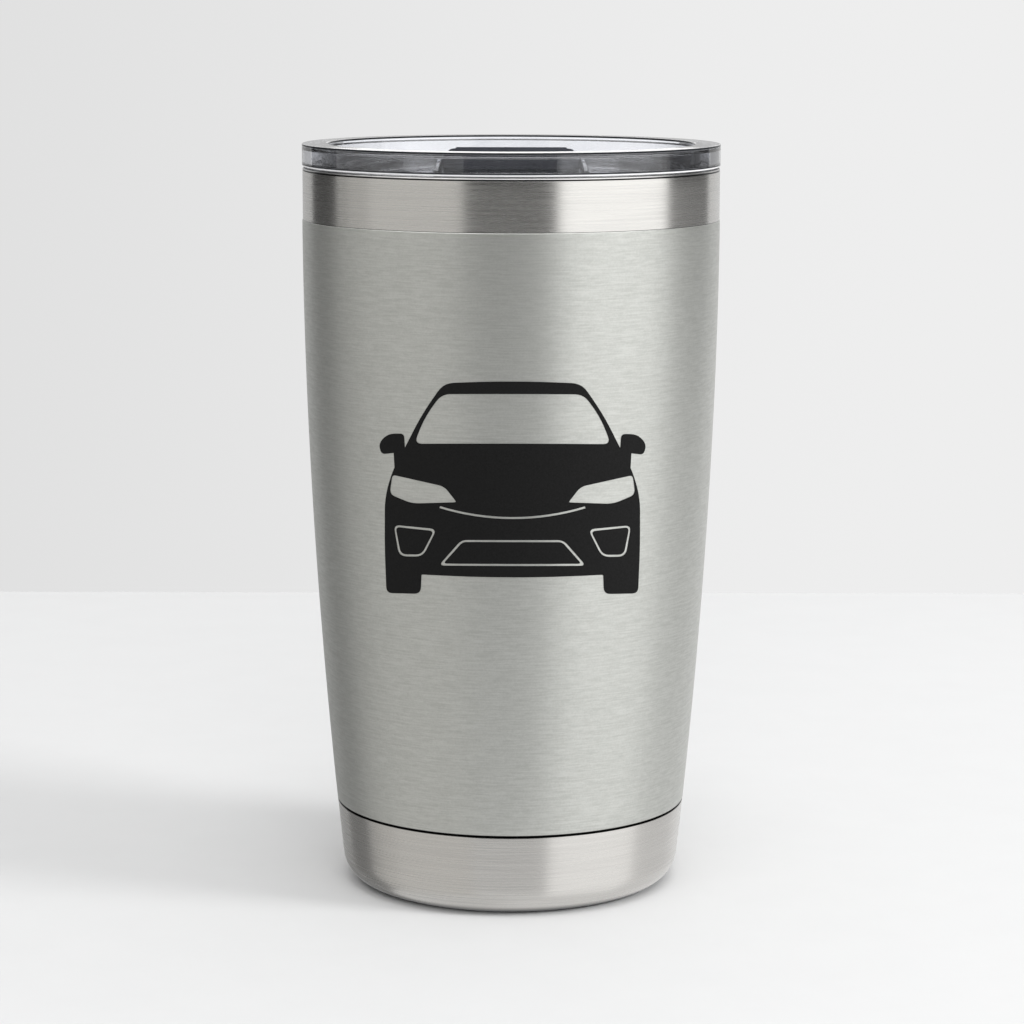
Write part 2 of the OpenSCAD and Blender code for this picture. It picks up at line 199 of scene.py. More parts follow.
def stadium(r):
    """Plan of the drinking hole, with ends of radius r."""
    return arc_points(DRINK_W, DRINK_Y, r, -90, 90, 20) + arc_points(-DRINK_W, DRINK_Y, r, 90, 270, 20)


def slider_plan(inset):
    """Plan of the slider, drawn in all round by an inset."""
    w, y0, r = SLIDER_W - inset, SLIDER_Y + inset, max(SLIDER_CORNER - inset, 0.4)
    end = SLIDER_END - inset
    half = math.degrees(math.asin(w / end))
    return (arc_points(-w + r, y0 + r, r, 180, 270, 8) + arc_points(w - r, y0 + r, r, 270, 360, 8)
            + arc_points(0, 0, end, 90 - half, 90 + half, 24))


def boolean(obj, others, operation):
    """Adds, takes away or intersects each of the others, which are then deleted."""
    for other in others:
        mod = obj.modifiers.new("cut", "BOOLEAN")
        mod.operation, mod.object, mod.solver = operation, other, "EXACT"
        with bpy.context.temp_override(object=obj, active_object=obj, selected_objects=[obj]):
            bpy.ops.object.modifier_apply(modifier=mod.name)
        mesh = other.data
        bpy.data.objects.remove(other)
        bpy.data.meshes.remove(mesh)


def soften(obj, chosen, width, segments=3, sharp=SHARP):
    """Bevels the sharp edges of obj whose two ends both pass the test."""
    bm = bmesh.new()
    bm.from_mesh(obj.data)
    edges = [e for e in bm.edges if len(e.link_faces) == 2 and e.calc_face_angle(0) > math.radians(30)
             and all(chosen(*(v.co / MM)) for v in e.verts)]
    bmesh.ops.bevel(bm, geom=edges, offset=width * MM, segments=segments, profile=0.5,
                    affect="EDGES", clamp_overlap=True)
    bmesh.ops.recalc_face_normals(bm, faces=bm.faces)
    bm.to_mesh(obj.data)
    bm.free()
    obj.data.shade_smooth()
    obj.data.set_sharp_from_angle(angle=math.radians(sharp))


# ---- Materials ----


class Nodes:
    """Small helper that adds and links nodes of one tree."""

    def __init__(self, name):
        self.mat = bpy.data.materials.new(name)
        self.mat.use_nodes = True
        self.tree = self.mat.node_tree
        self.shader = self.tree.nodes["Principled BSDF"]
        self.place = self.add("ShaderNodeTexCoord").outputs["Object"]

    def add(self, kind, **settings):
        node = self.tree.nodes.new(kind)
        for key, value in settings.items():
            setattr(node, key, value)
        return node

    def link(self, source, target):
        self.tree.links.new(source, target)

    def noise(self, scale, detail=3.0, rough=0.55, offset=(0, 0, 0)):
        """Noise in object space, whose scale per metre may differ along x, y and z."""
        move = self.add("ShaderNodeMapping")
        move.inputs["Scale"].default_value = scale
        move.inputs["Location"].default_value = offset
        self.link(self.place, move.inputs["Vector"])
        tex = self.add("ShaderNodeTexNoise")
        tex.inputs["Scale"].default_value = 1.0
        tex.inputs["Detail"].default_value = detail
        tex.inputs["Roughness"].default_value = rough
        self.link(move.outputs["Vector"], tex.inputs["Vector"])
        return tex.outputs["Fac"]

    def span(self, value, low, high, start=0.3, end=0.7):
        node = self.add("ShaderNodeMapRange")
        self.link(value, node.inputs["Value"])
        for key, number in (("From Min", start), ("From Max", end), ("To Min", low), ("To Max", high)):
            node.inputs[key].default_value = number
        return node.outputs["Result"]

    def maths(self, operation, a, b):
        node = self.add("ShaderNodeMath", operation=operation)
        for socket, value in zip(node.inputs, (a, b)):
            if isinstance(value, (int, float)):
                socket.default_value = value
            else:
                self.link(value, socket)
        return node.outputs["Value"]

    def blend(self, value, low, high):
        """Colour between low and high by a value from 0 to 1; either may be a socket."""
        node = self.add("ShaderNodeMix", data_type="RGBA")
        self.link(value, node.inputs["Factor"])
        for key, colour in (("A", low), ("B", high)):
            socket = next(s for s in node.inputs if s.name == key and s.type == "RGBA")
            if isinstance(colour, tuple):
                socket.default_value = (*colour, 1)
            else:
                self.link(colour, socket)
        return next(s for s in node.outputs if s.type == "RGBA")

    def bump(self, value, height):
        node = self.add("ShaderNodeBump")
        node.inputs["Strength"].default_value = 1.0
        node.inputs["Distance"].default_value = height
        self.link(value, node.inputs["Height"])
        self.link(node.outputs["Normal"], self.shader.inputs["Normal"])

    def put(self, **values):
        for key, value in values.items():
            socket = self.shader.inputs[key.replace("_", " ")]
            if isinstance(value, tuple):
                socket.default_value = (*value, 1)
            elif isinstance(value, (int, float)):
                socket.default_value = value
            else:
                self.link(value, socket)

    def brushed_round(self, amount):
        """Reflections stay sharp round the axis and blur up and down, as fine turned grooves do."""
        tangent = self.add("ShaderNodeTangent", direction_type="RADIAL", axis="Z")
        self.link(tangent.outputs["Tangent"], self.shader.inputs["Tangent"])
        self.put(Anisotropic=amount, Anisotropic_Rotation=0.25)


def brushed_steel(name, low, high, rough, groove=1.2e-6, aniso=0.75):
    n = Nodes(name)
    fine = n.noise((45, 45, 4200), 5.0, 0.65)
    broad = n.noise((14, 14, 1500), 2.0, 0.5, (3, 1, 7))
    streak = n.maths("ADD", n.maths("MULTIPLY", fine, 0.85), n.maths("MULTIPLY", broad, 0.15))
    n.put(Base_Color=n.blend(n.span(streak, 0, 1, 0.36, 0.64), low, high), Metallic=1.0,
          Roughness=n.span(streak, rough + 0.04, rough - 0.04, 0.36, 0.64))
    n.brushed_round(aniso)
    n.bump(streak, groove)
    return n


def satin_coating():
    n = Nodes("satin_coating")
    streak = n.noise((200, 200, 3200), 4.0, 0.65)
    grain = n.noise((2600, 2600, 2600), 2.0, 0.6, (1, 5, 2))
    mottle = n.noise((500, 500, 1100), 3.0, 0.6, (8, 2, 4))
    mix = n.maths("ADD", n.maths("MULTIPLY", streak, 0.55),
                  n.maths("ADD", n.maths("MULTIPLY", grain, 0.25), n.maths("MULTIPLY", mottle, 0.20)))
    n.put(Base_Color=n.blend(n.span(mix, 0, 1, 0.4, 0.6), (0.46, 0.467, 0.441), (0.555, 0.562, 0.535)),
          Metallic=0.85, Roughness=n.span(mix, 0.44, 0.38, 0.4, 0.6))
    n.brushed_round(0.3)
    n.bump(mix, 2e-6)
    return n


def black_print():
    n = Nodes("black_print")
    grain = n.noise((3000, 3000, 3000), 3.0, 0.6)
    n.put(Base_Color=n.blend(n.span(grain, 0, 1), (0.006, 0.006, 0.006), (0.010, 0.010, 0.010)),
          Roughness=n.span(grain, 0.62, 0.5), Specular_IOR_Level=0.1)
    n.bump(grain, 3e-6)
    return n


def smoke_clear():
    """Clear floor and smoke-tinted rim, with painted shade as near-black lines at its corners and a painted
    highlight as a pale opaque band on its lower edge.
    """
    n = Nodes("smoke_clear")
    flow = n.noise((90, 90, 60), 2.0, 0.5)
    haze = n.noise((900, 900, 900), 3.0, 0.55)
    r, z = radius(n), height(n)
    rim = n.maths("MAXIMUM", n.span(r, 0, 1, (PLUG_R + 0.6) * MM, (CHANNEL_R - 0.6) * MM),
                  n.span(z, 0, 1, (CHANNEL_Z - 0.1) * MM, (CHANNEL_Z + 0.1) * MM))
    clear = n.blend(n.span(flow, 0, 1), (0.942, 0.942, 0.943), (0.966, 0.966, 0.967))
    smoke = n.blend(n.span(flow, 0, 1), (0.57, 0.58, 0.61), (0.63, 0.64, 0.67))

    def near(edge_r, edge_z, inner, outer):
        """1 within inner of a ring of the rim, 0 beyond outer."""
        dr, dz = n.maths("SUBTRACT", r, edge_r * MM), n.maths("SUBTRACT", z, edge_z * MM)
        off = n.maths("SQRT", n.maths("ADD", n.maths("MULTIPLY", dr, dr), n.maths("MULTIPLY", dz, dz)), 0)
        return n.span(off, 1, 0, inner * MM, outer * MM)

    # Painted shade: near-black, opaque lines along the rim's outer top edge, the recess edge and the outer
    # wall just above the lower edge
    dark = n.maths("MAXIMUM", near(LID_R, LID_Z - 0.25, 0.16, 0.30), near(RECESS_R, LID_Z - 0.1, 0.24, 0.38))
    dark = n.maths("MAXIMUM", dark, near(LID_R, FLANGE_Z + 0.6, 0.1, 0.2))
    # Painted highlight: a pale, opaque band along the rim's lower outer edge
    painted_highlight = near(LID_R, FLANGE_Z + 0.12, 0.2, 0.32)
    solid = n.maths("MAXIMUM", dark, painted_highlight)
    tint = n.blend(dark, n.blend(rim, clear, smoke), (0.015, 0.016, 0.018))
    n.put(Base_Color=n.blend(painted_highlight, tint, (0.94, 0.94, 0.95)), Transmission_Weight=n.span(solid, 1, 0, 0, 1),
          Specular_IOR_Level=n.span(dark, 0.5, 0.03, 0, 1), IOR=1.49, Roughness=n.span(haze, 0.012, 0.035))
    n.bump(flow, 2e-5)
    return n


def plain(name, low, high, rough, metal=0.0, scale=800, bump=2e-6, **more):
    """Finely grained surface between two tones."""
    n = Nodes(name)
    grain = n.noise((scale, scale, scale), 4.0, 0.6)
    wear = n.noise((scale / 9, scale / 9, scale / 9), 2.0, 0.5, (4, 4, 9))
    n.put(Base_Color=n.blend(n.span(grain, 0, 1), low, high), Metallic=metal,
          Roughness=n.span(wear, rough - 0.04, rough + 0.04), **more)
    n.bump(grain, bump)
    return n


def paint_shade_below(n, z0, z1, dark):
    """Paints shade: blends a material's base colour to dark below z1, fully at z0."""
    unshaded = n.span(height(n), 0, 1, z0 * MM, z1 * MM)
    base = n.shader.inputs["Base Color"].links[0].from_socket
    n.put(Base_Color=n.blend(unshaded, dark, base))
    return n


def paint_shade_line(n, z, half, dark, r_min=0.0):
    """Paints a line of shade: blends a material's base colour to dark within half of a height, outside a
    radius.
    """
    off = n.maths("ABSOLUTE", n.maths("SUBTRACT", height(n), z * MM), 0)
    line = n.span(off, 1, 0, half * 0.6 * MM, half * MM)
    outside = n.maths("GREATER_THAN", radius(n), r_min * MM)
    base = n.shader.inputs["Base Color"].links[0].from_socket
    n.put(Base_Color=n.blend(n.maths("MULTIPLY", line, outside), base, dark))
    return n


def height(n):
    """Height over the table."""
    split = n.add("ShaderNodeSeparateXYZ")
    n.link(n.place, split.inputs["Vector"])
    return split.outputs["Z"]


def radius(n):
    """Distance from the axis."""
    split = n.add("ShaderNodeSeparateXYZ")
    n.link(n.place, split.inputs["Vector"])
    x, y = split.outputs["X"], split.outputs["Y"]
    return n.maths("SQRT", n.maths("ADD", n.maths("MULTIPLY", x, x), n.maths("MULTIPLY", y, y)), 0)


def outer_steel():
    """Brushed steel, with painted shade: a fine dark line just above the coating's edge at the foot of the
    band, a dark ring in the groove under the lip and a near-black seam.
    """
    n = brushed_steel("brushed_steel", (0.585, 0.576, 0.556), (0.655, 0.644, 0.618), 0.27)
    # Painted shade: darkens the steel below the band's foot, seen as a fine dark line just above the
    # coating's edge
    paint_shade_below(n, BAND_Z + 0.10, BAND_Z + 0.17, (0.20, 0.20, 0.195))
    # Painted shade: a dark ring in the groove under the lip
    paint_shade_line(n, SHELL_Z, 0.2, (0.01, 0.01, 0.01))
    # Painted shade: the steel in the seam between coating and base cup is painted near-black
    return paint_shade_below(n, COAT_Z + 0.02, COAT_Z + 0.5, (0.004, 0.004, 0.004))


def liner_steel():
    n = brushed_steel("liner_steel", (0.55, 0.548, 0.54), (0.61, 0.607, 0.598), 0.30, 8e-7, 0.6)
    # Painted shade: a dark ring on the top of the lip, under the lid's edge
    paint_shade_line(n, LIP_Z, 0.1, (0.01, 0.01, 0.01), MOUTH_R - 0.4)
    # Painted shade: the same dark ring in the groove under the lip as on the outer wall
    return paint_shade_line(n, SHELL_Z, 0.2, (0.01, 0.01, 0.01), MOUTH_R - 0.5)


def cup_steel():
    """Brushed steel, with painted shade: near-black on its turned-in rim in the seam, and a painted contact
    shadow darkening the foot where it touches the table.
    """
    n = brushed_steel("cup_steel", (0.575, 0.562, 0.54), (0.64, 0.626, 0.60), 0.275)
    # Painted shade in the seam, on the cup's turned-in rim
    paint_shade_line(n, CUP_Z, 0.2, (0.004, 0.004, 0.004))
    # Painted contact shadow: the foot darkens towards the table
    return paint_shade_below(n, 0.7, 2.0, (0.003, 0.003, 0.003))


MATS = {
    "brushed_steel": outer_steel().mat,
    "cup_steel": cup_steel().mat,
    "liner_steel": liner_steel().mat,
    "plain_steel": plain("plain_steel", (0.52, 0.52, 0.51), (0.60, 0.60, 0.59), 0.32, 1.0).mat,
    # The coating's foot gets painted shade, near-black in the seam
    "satin_coating": paint_shade_below(satin_coating(), COAT_Z + 0.05, COAT_Z + 0.15, (0.01, 0.01, 0.01)).mat,
    "black_print": black_print().mat,
    "smoke_clear": smoke_clear().mat,
    "dark_smoke": plain("dark_smoke", (0.035, 0.037, 0.044), (0.055, 0.058, 0.068), 0.42, scale=1500,
                        Specular_IOR_Level=0.0).mat,
    "silicone": plain("silicone", (0.50, 0.51, 0.52), (0.58, 0.59, 0.60), 0.5, scale=1200,
                      Transmission_Weight=0.35).mat,
    "magnet": plain("magnet", (0.60, 0.59, 0.57), (0.68, 0.67, 0.65), 0.22, 1.0, scale=2000).mat,
    "copper": plain("copper", (0.74, 0.39, 0.26), (0.84, 0.47, 0.32), 0.25, 1.0).mat,
    "getter": plain("getter", (0.15, 0.15, 0.16), (0.24, 0.24, 0.25), 0.8, scale=3000, bump=1e-5).mat,
    "sealing_glass": plain("sealing_glass", (0.05, 0.06, 0.05), (0.10, 0.12, 0.10), 0.12).mat,
    "adhesive": plain("adhesive", (0.14, 0.14, 0.14), (0.22, 0.22, 0.22), 0.55).mat,
}


def dress(obj, mat, body, *nodes, slot=None):
    """Gives a piece its material and body, and hides the CAD nodes that it stands for."""
    obj.data.materials.clear()
    obj.data.materials.append(MATS[mat])
    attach(obj, body)
    if nodes:
        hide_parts(*nodes)
    return obj


# ---- Steel body ----


def outer_shell():
    top = MOUTH_R + STEEL_OUT
    shape = (side(NECK_Z, CUP_Z - 0.1, NECK_OUT) + [(curve_r(COAT_Z) + STEEL_OUT, COAT_Z)]
             + side(COAT_Z + 0.3, 144.2, STEEL_OUT)
             + [(top, 146), (top, 149), (top, 152), (top, SHELL_Z - 0.3)]
             + [(top - 0.02, SHELL_Z - 0.15), (top - 0.08, SHELL_Z - 0.05), (top - 0.18, SHELL_Z)]
             + side(SHELL_Z, COAT_Z + SHEET, SHELL_IN) + side(CUP_Z + SHEET, NECK_Z, NECK_IN))
    return lathe("steel_wall", shape)


def body_coating():
    low, high = curve_r(COAT_Z), curve_r(BAND_Z)
    shape = [(low + STEEL_OUT, COAT_Z)]
    shape += [(low + COAT_OUT - 0.08, COAT_Z), (low + COAT_OUT - 0.03, COAT_Z + 0.06),
              (low + COAT_OUT - 0.005, COAT_Z + 0.14)]
    shape += side(COAT_Z + 0.22, BAND_Z - 0.24, COAT_OUT, 2.0)
    shape += [(high + COAT_OUT - 0.008, BAND_Z - 0.16), (high + COAT_OUT - 0.03, BAND_Z - 0.08),
              (high + COAT_OUT - 0.065, BAND_Z - 0.02)]
    shape += [(high + STEEL_OUT, BAND_Z)]
    shape += side(BAND_Z - 0.1, COAT_Z + 0.1, STEEL_OUT, 6.0)
    return lathe("satin_coat", shape)


def base_cup():
    corner_r, lean, foot_w, hollow = 6.4, 6.0, 2.2, 1.5
    tangent_z = corner_r * (1 - math.sin(math.radians(lean)))
    cx = curve_r(tangent_z) - corner_r * math.cos(math.radians(lean))
    foot_in = cx - foot_w
    rise = foot_in - 1.6
    rim = curve_r(CUP_Z)
    shape = [(0, hollow), (rise - 8, hollow), (rise - 0.5, hollow), (rise + 0.05, hollow - 0.12),
             (foot_in - 0.25, 0.12), (foot_in + 0.1, 0.0)]
    shape += arc_points(cx, corner_r, corner_r, 270, 360 - lean, 14)
    shape += side(corner_r, CUP_Z - 0.3, 0)
    shape += [(rim - 0.02, CUP_Z - 0.16), (rim - 0.07, CUP_Z - 0.06), (rim - 0.15, CUP_Z),
              (rim - 0.38, CUP_Z), (rim - 0.49, CUP_Z - 0.1)]
    shape += side(CUP_Z - 0.4, corner_r, CUP_IN)
    shape += arc_points(cx, corner_r, corner_r - SHEET, 360 - lean, 270, 10)
    shape += [(foot_in + 0.2, SHEET), (rise + 0.2, hollow + SHEET), (0, hollow + SHEET)]
    return lathe("base_cup_shell", shape)


def inner_liner():
    in_r, out_r = MOUTH_R + LINER_IN, MOUTH_R + LINER_OUT
    lip, shell = MOUTH_R + STEEL_OUT, MOUTH_R + SHELL_IN
    outer_bend, inner_bend = 0.36, 0.9
    shape = side(WELD_Z, LIP_Z - 3.5, LINER_OUT)
    shape += [(out_r + 0.3, LIP_Z - 2.4), (shell, LIP_Z - 1.1), (shell, SHELL_Z),
              (lip - 0.18, SHELL_Z), (lip - 0.03, SHELL_Z + 0.1)]
    shape += arc_points(lip - outer_bend, LIP_Z - outer_bend, outer_bend, 0, 90, 6)
    shape += [(lip - 0.6, LIP_Z), (in_r + 1.2, LIP_Z)]
    shape += arc_points(in_r + inner_bend, LIP_Z - inner_bend, inner_bend, 90, 180, 8)
    shape += [(in_r, LIP_Z - 1.1)] + side(LIP_Z - 3.5, WELD_Z, LINER_IN)
    return lathe("steel_liner", shape)


def liner_bottom():
    bend, z0 = 6.0, 11.0
    cx = curve_r(z0 + bend) + LINER_OUT - bend
    shape = [(0, z0), (12, z0)] + arc_points(cx, z0 + bend, bend, 270, 360, 12)
    shape += [(curve_r(WELD_Z) + LINER_OUT, WELD_Z), (curve_r(WELD_Z) + LINER_IN, WELD_Z)]
    shape += arc_points(cx, z0 + bend, bend - SHEET, 360, 270, 12) + [(12, z0 + SHEET), (0, z0 + SHEET)]
    return lathe("steel_liner_floor", shape)


def car_graphic():
    """The CAD print, cut finely and laid on the smooth side curve."""
    bm = bmesh.new()
    bm.from_mesh(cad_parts["car_decal"].data)
    bmesh.ops.remove_doubles(bm, verts=bm.verts, dist=1e-7)
    for axis, low, high, step in ((0, -27, 28, 1.0), (2, 68, 115, 4.0)):
        at = low
        while at <= high:
            point, normal = [0, 0, 0], [0, 0, 0]
            point[axis], normal[axis] = at * MM, 1
            bmesh.ops.bisect_plane(bm, geom=bm.verts[:] + bm.edges[:] + bm.faces[:], dist=1e-8,
                                   plane_co=point, plane_no=normal)
            at += step
    for v in bm.verts:
        x, y, z = v.co / MM
        r = math.hypot(x, y)
        off = COAT_OUT - 0.03 if r < curve_r(z) + COAT_OUT + DECAL_T / 2 else COAT_OUT + DECAL_T
        new = curve_r(z) + off
        v.co = Vector((x * new / r, y * new / r, z)) * MM
    obj = finish_mesh(bm, "printed_car")
    obj.data.shade_flat()
    return obj


# ---- Lid ----


def lid_body():
    skirt, groove = PLUG_R - 1.8, PLUG_R - 0.9
    low_r, bend = RECESS_R - 0.8, 1.7
    shape = filleted([
        (0, FLOOR_Z - FLOOR_T), (skirt, FLOOR_Z - FLOOR_T, 0.8), (skirt, PLUG_Z, 0.3), (PLUG_R, PLUG_Z, 0.35),
        (PLUG_R, GROOVE_Z, 0.1), (groove, GROOVE_Z, 0.1), (groove, GROOVE_Z + GROOVE_H, 0.1),
        (PLUG_R, GROOVE_Z + GROOVE_H, 0.1), (PLUG_R, CHANNEL_Z, 0.4), (CHANNEL_R, CHANNEL_Z, 0.4),
        (CHANNEL_R, FLANGE_Z, 0.15),
        (LID_R, FLANGE_Z, 0.45), (LID_R, LID_Z - CROWN_H, 0.2), (RECESS_R, LID_Z, 0.4),
        (low_r, FLOOR_Z, bend), (0, FLOOR_Z),
    ], 6)
    lid = lathe("clear_lid", shape, sharp=50)
    boss_r, rail_h, rail_w = 5.4, 1.6, 1.2
    rail_x, rail_end = SLIDER_W + 0.25, SLIDER_Y - TRAVEL - 0.5
    sunk = FLOOR_Z - 0.5
    adds = []
    for y in (MAGNET_Y, MAGNET_Y - TRAVEL):
        boss = filleted([(0, BOSS_Z), (boss_r, BOSS_Z, 0.4), (boss_r, FLOOR_Z - 1), (0, FLOOR_Z - 1)])
        adds.append(lathe("boss", boss, (0, y), 96))
    y0, y1 = rail_end - rail_w, 32.2
    for x in (-rail_x - rail_w, rail_x):
        adds.append(prism("rail", box_plan(x, y0, x + rail_w, y1), sunk, FLOOR_Z + rail_h, 0, 0.3))
    stop = box_plan(-rail_x - 0.4, y0, rail_x + 0.4, y0 + rail_w)
    adds.append(prism("stop", stop, sunk, FLOOR_Z + 1, 0, 0.3))
    boolean(lid, adds, "UNION")
    cuts = [prism("hole", stadium(DRINK_R), FLOOR_Z - FLOOR_T - 1, FLOOR_Z + 1),
            prism("vent", circle(VENT_Y, VENT_R, 48), FLOOR_Z - FLOOR_T - 1, FLOOR_Z + 1)]
    for y in (MAGNET_Y, MAGNET_Y - TRAVEL):
        cuts.append(prism("pocket", circle(y, LID_MAGNET_R), BOSS_Z - 1, FLOOR_Z - 0.8))
    boolean(lid, cuts, "DIFFERENCE")

    def at_hole(x, y, z):
        on_face = abs(z - FLOOR_Z) < 0.01 or abs(z - FLOOR_Z + FLOOR_T) < 0.01
        d = math.hypot(max(abs(x) - DRINK_W, 0), y - DRINK_Y)
        return on_face and (abs(d - DRINK_R) < 0.05 or abs(math.hypot(x, y - VENT_Y) - VENT_R) < 0.05)

    soften(lid, at_hole, 0.3, sharp=50)
    return lid


def lid_gasket():
    body, inner, top = PLUG_R + 0.05, PLUG_R - 0.9, GROOVE_Z + GROOVE_H
    shape = filleted([
        (inner, GROOVE_Z), (body - 0.1, GROOVE_Z, 0.08), (FIN_R, GROOVE_Z + 0.72, 0.09),
        (body, GROOVE_Z + 1.35, 0.1),
        (body, GROOVE_Z + 1.65, 0.1), (FIN_R, top - 0.72, 0.09), (body - 0.1, top, 0.08), (inner, top),
    ], 4, 0.05)
    return lathe("silicone_ring", shape)


def disc(name, y, r, z0, z1, edge):
    return lathe(name, filleted([(0, z0), (r, z0, edge), (r, z1, edge), (0, z1)], 4), (0, y), 96)


# ---- Slider ----


def slider_body():
    """Block with a sloping thumb end, rounded edges and five ridges."""
    body = prism("slider_top", slider_plan(0), SLIDER_Z, SLIDER_Z + 8)
    top = RIDGE_Z - 0.4

    def side_block(inset, name):
        t = top - inset
        slope = [(-2, SLIDER_Z - 1), (42, SLIDER_Z - 1), (42, t - 2.75), (34, t - 2.5),
                 (28, t - 1.8), (22, t), (-2, t)]
        block = prism(name, [(z, y) for y, z in slope][::-1], -20, 20)
        block.data.transform(Matrix(((0, 0, 1, 0), (0, 1, 0, 0), (1, 0, 0, 0), (0, 0, 0, 1))))
        bm = bmesh.new()
        bm.from_mesh(block.data)
        bmesh.ops.recalc_face_normals(bm, faces=bm.faces)
        bm.to_mesh(block.data)
        bm.free()
        return block

    boolean(body, [side_block(0, "outside")], "INTERSECT")
    w, b = SLIDER_W + 0.01, SLIDER_BEVEL
    front = filleted([(-w, SLIDER_Z - 1), (w, SLIDER_Z - 1), (w, top - b - 0.3, 1.6),
                      (w - b - 0.1, top, 1.6), (b + 0.1 - w, top, 1.6), (-w, top - b - 0.3, 1.6)])
    ends = prism("ends", front, -42, 2)
    ends.data.transform(Matrix(((1, 0, 0, 0), (0, 0, -1, 0), (0, 1, 0, 0), (0, 0, 0, 1))))
    boolean(body, [ends], "INTERSECT")
    soften(body, lambda x, y, z: z > SLIDER_Z + 1, 0.5, 4)
    ridges = []
    ridge_x, ridge_w, pitch = SLIDER_W - 2.6, 1.3, 3.2
    for i in range(5):
        y0 = SLIDER_Y + pitch + pitch * i
        plan = box_plan(-ridge_x, y0, ridge_x, y0 + ridge_w)
        ridges.append(prism("ridge", plan, RIDGE_Z - 0.8, RIDGE_Z, 0, 0.3))
    boolean(body, ridges, "UNION")
    hollow = prism("hollow", slider_plan(SLIDER_WALL), SLIDER_Z - 0.5, SLIDER_Z + 8)
    boolean(hollow, [side_block(1.4, "ceiling")], "INTERSECT")
    boolean(hollow, [prism("post", circle(MAGNET_Y, 6.2), SLIDER_Z - 1, SLIDER_Z + 9)], "DIFFERENCE")
    rebate = prism("rebate", slider_plan(PLATE_INSET), SLIDER_Z - 1, PLATE_Z + PLATE_T)
    seat = prism("magnet_seat", circle(MAGNET_Y, SLIDER_MAGNET_R), SLIDER_Z - 1, PLATE_Z + PLATE_T + 2)
    boolean(body, [hollow, rebate, seat], "DIFFERENCE")
    body.data.shade_smooth()
    body.data.set_sharp_from_angle(angle=math.radians(30))
    return body


def slider_plate():
    plate = prism("slider_base", slider_plan(PLATE_INSET), PLATE_Z, PLATE_Z + PLATE_T, 0.15, 0)
    boolean(plate, [prism("seat", stadium(SEAL_R), PLATE_Z - 1, SEAL_Z)], "DIFFERENCE")
    return plate


dress(outer_shell(), "brushed_steel", "vessel", "outer_shell")
dress(body_coating(), "satin_coating", "vessel", "body_coating")
dress(base_cup(), "cup_steel", "vessel", "base_cup", slot="brushed_steel")
dress(inner_liner(), "liner_steel", "vessel", "inner_liner")
dress(liner_bottom(), "liner_steel", "vessel", "liner_bottom")
dress(car_graphic(), "black_print", "vessel", "car_decal")
dress(lid_body(), "smoke_clear", "lid", "lid_body")
dress(lid_gasket(), "silicone", "lid", "lid_gasket")
for end, y in (("front", MAGNET_Y - TRAVEL), ("back", MAGNET_Y)):
    dress(disc(f"lid_magnet_{end}", y, LID_MAGNET_R, CAP_Z, 151.4, 0.2), "magnet", "lid", "lid_magnets")
for end, y in (("front", MAGNET_Y - TRAVEL), ("back", MAGNET_Y)):
    dress(disc(f"magnet_cap_{end}", y, LID_MAGNET_R - PLAY, BOSS_Z, CAP_Z, 0.1),
          "smoke_clear", "lid", "magnet_caps")
dress(slider_body(), "dark_smoke", "slider", "slider_body")
dress(slider_plate(), "dark_smoke", "slider", "slider_plate")
dress(disc("slider_disc_magnet", MAGNET_Y, SLIDER_MAGNET_R - PLAY, 153.65, 155.65, 0.2),
      "magnet", "slider", "slider_magnet")
dress(prism("seal_pad", stadium(SEAL_R), FLOOR_Z + 0.05, SEAL_Z, 0.2, 0),
      "silicone", "slider", "slider_seal")

# Pieces inside the sealed wall keep their CAD meshes
for node, mat in (("shell_bottom", "plain_steel"), ("base_adhesive", "adhesive"),
                  ("copper_foil", "copper"), ("getter_pellet", "getter"),
                  ("getter_clip", "plain_steel"), ("vacuum_seal", "sealing_glass")):
    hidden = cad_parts[node]
    hidden.data.materials.clear()
    hidden.data.materials.append(MATS[mat])

# ---- Stage ----

CARD_R = 1.0  # distance of the reflected cards from the axis, in metres like the rest of the stage
GLOW_LOW_Z, GLOW_HIGH_Z = -0.45, 0.05


def emitter(name, high, low, colour):
    """Glow whose radiance runs from low at GLOW_LOW_Z to high at GLOW_HIGH_Z."""
    mat = bpy.data.materials.new(name)
    mat.use_nodes = True
    tree = mat.node_tree
    tree.nodes.clear()
    glow = tree.nodes.new("ShaderNodeEmission")
    glow.inputs["Color"].default_value = (*colour, 1)
    place = tree.nodes.new("ShaderNodeNewGeometry")
    split = tree.nodes.new("ShaderNodeSeparateXYZ")
    ramp = tree.nodes.new("ShaderNodeMapRange")
    tree.links.new(place.outputs["Position"], split.inputs["Vector"])
    tree.links.new(split.outputs["Z"], ramp.inputs["Value"])
    for key, number in (("From Min", GLOW_LOW_Z), ("From Max", GLOW_HIGH_Z),
                        ("To Min", low), ("To Max", high)):
        ramp.inputs[key].default_value = number
    tree.links.new(ramp.outputs["Result"], glow.inputs["Strength"])
    tree.links.new(glow.outputs["Emission"], tree.nodes.new("ShaderNodeOutputMaterial").inputs["Surface"])
    return mat


def card(name, a0, a1, high, low, colour=(1, 1, 1), z0=-1.0, z1=0.85, steps=16, through=False):
    """Curved card between two azimuths, counted from the front (-Y) towards +X.
    It is seen only in reflections, or only through glass."""
    bm = bmesh.new()
    pairs = []
    for i in range(steps + 1):
        a = math.radians(a0 + (a1 - a0) * i / steps)
        x, y = CARD_R * math.sin(a), -CARD_R * math.cos(a)
        pairs.append((bm.verts.new((x, y, z0)), bm.verts.new((x, y, z1))))
    for (p, q), (r, s) in zip(pairs, pairs[1:]):
        bm.faces.new((p, r, s, q))
    mesh = bpy.data.meshes.new(name)
    bm.to_mesh(mesh)
    bm.free()
    obj = bpy.data.objects.new(name, mesh)
    bpy.context.scene.collection.objects.link(obj)
    mesh.materials.append(emitter(name, high, low, colour))
    obj.visible_camera = obj.visible_diffuse = obj.visible_shadow = False
    obj.visible_glossy, obj.visible_transmission = not through, through


